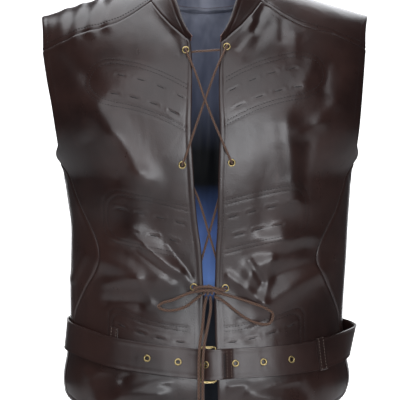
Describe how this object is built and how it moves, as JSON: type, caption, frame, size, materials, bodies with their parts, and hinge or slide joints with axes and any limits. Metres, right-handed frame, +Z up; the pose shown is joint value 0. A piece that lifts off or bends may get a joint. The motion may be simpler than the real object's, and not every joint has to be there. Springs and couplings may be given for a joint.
{
  "type": "costume vest",
  "caption": "Sleeveless leather costume vest, lace-front with stand collar, satin lining and its own buckled belt, in its worn hollow form.",
  "frame": {"origin": "on the shoulder line, midway between the two neck points, where the wearer's shoulders carry the vest", "axes": "+Z up, the front faces -Y, +X is the wearer's left"},
  "size_m": [0.4384, 0.2617, 0.646],
  "materials": {
    "leather": "soft gloss, fine grain",
    "satin": "satin sheen",
    "brass": "polished",
    "lace": "braided cord"
  },
  "bodies": {
    "root": {"front_right": "leather", "front_left": "leather", "side_right": "leather", "side_left": "leather", "yoke_right": "leather", "yoke_left": "leather", "back": "leather", "collar": "leather", "lining_right": "satin", "lining_left": "satin", "lining_back": "satin", "lace_eyelet_1": "brass", "lace_eyelet_2": "brass", "lace_eyelet_3": "brass", "lace_eyelet_4": "brass", "lace_eyelet_5": "brass", "lace_eyelet_6": "brass", "lace": "lace", "bow_knot": "lace", "bow_loop_right": "lace", "bow_loop_left": "lace", "lace_tail_1": "lace", "lace_tail_2": "lace", "lace_tip_1": "brass", "lace_tip_2": "brass", "belt_strap": "leather", "belt_loop_right": "leather", "belt_loop_left": "leather", "belt_eyelet_1": "brass", "belt_eyelet_2": "brass", "belt_eyelet_3": "brass", "belt_eyelet_4": "brass", "belt_eyelet_5": "brass", "belt_eyelet_6": "brass", "buckle_frame": "brass", "buckle_prong": "brass"}
  },
  "joints": []
}
